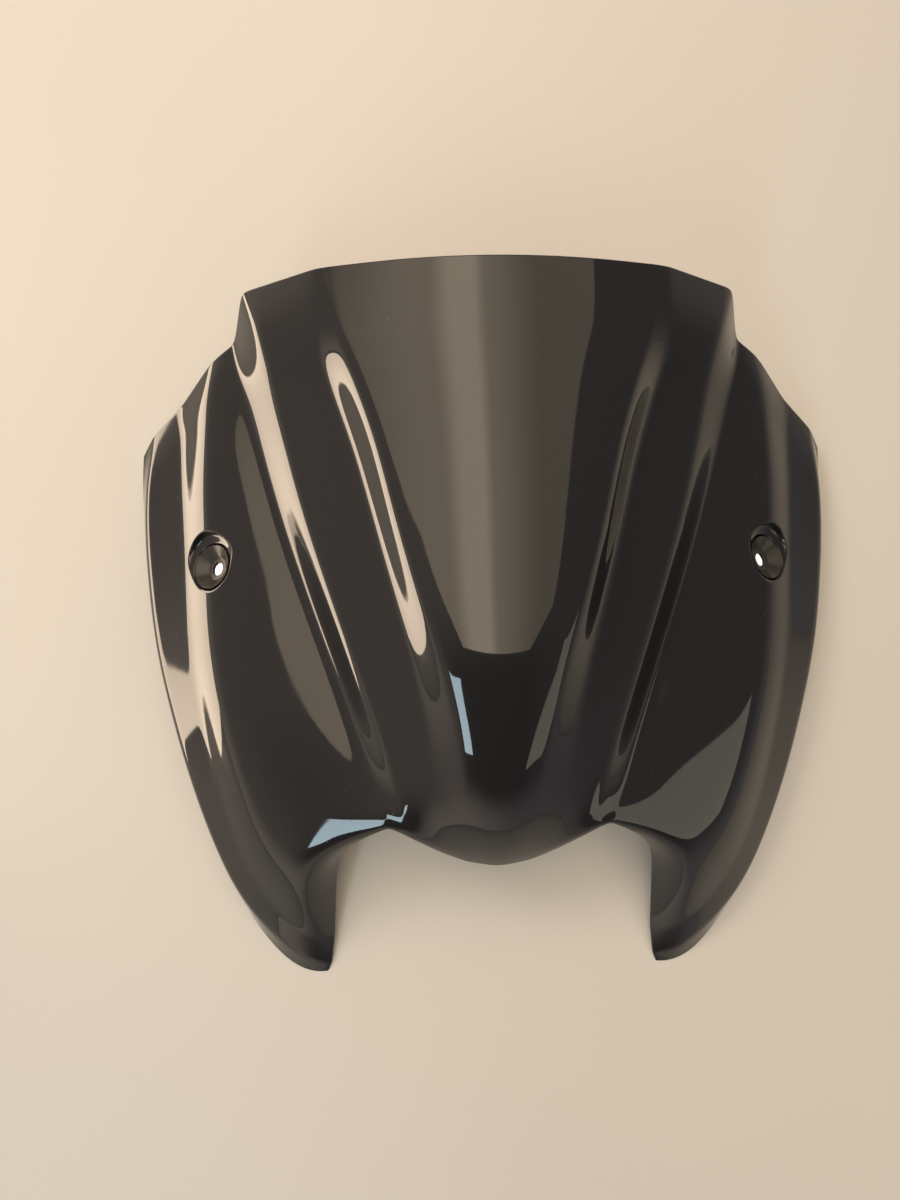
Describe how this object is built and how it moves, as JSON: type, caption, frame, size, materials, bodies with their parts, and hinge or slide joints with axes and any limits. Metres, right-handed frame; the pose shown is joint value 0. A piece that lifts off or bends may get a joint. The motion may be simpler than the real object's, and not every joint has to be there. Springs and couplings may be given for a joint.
{
  "type": "motorcycle windshield screen",
  "caption": "Gloss black moulded motorcycle screen: raised centre panel, side channels, swept wings, two legs, cup washers in its bolt recesses.",
  "frame": {"origin": "centre of the bounding box, on the plane that the side edges and leg tips rest on", "axes": "+Y towards the screen's top edge, +Z out of the outer face, X across the screen with the plane of symmetry at X = 0; +X is the rider's left"},
  "size_m": [0.3998, 0.383, 0.1208],
  "materials": {
    "shell": "polished gloss black moulding",
    "cup_washer": "satin black moulding",
    "ring": "matt black rubber"
  },
  "bodies": {
    "root": {"screen_shell": "shell", "left_cup_washer": "cup_washer", "right_cup_washer": "cup_washer", "left_rubber_ring": "ring", "right_rubber_ring": "ring"}
  },
  "joints": []
}
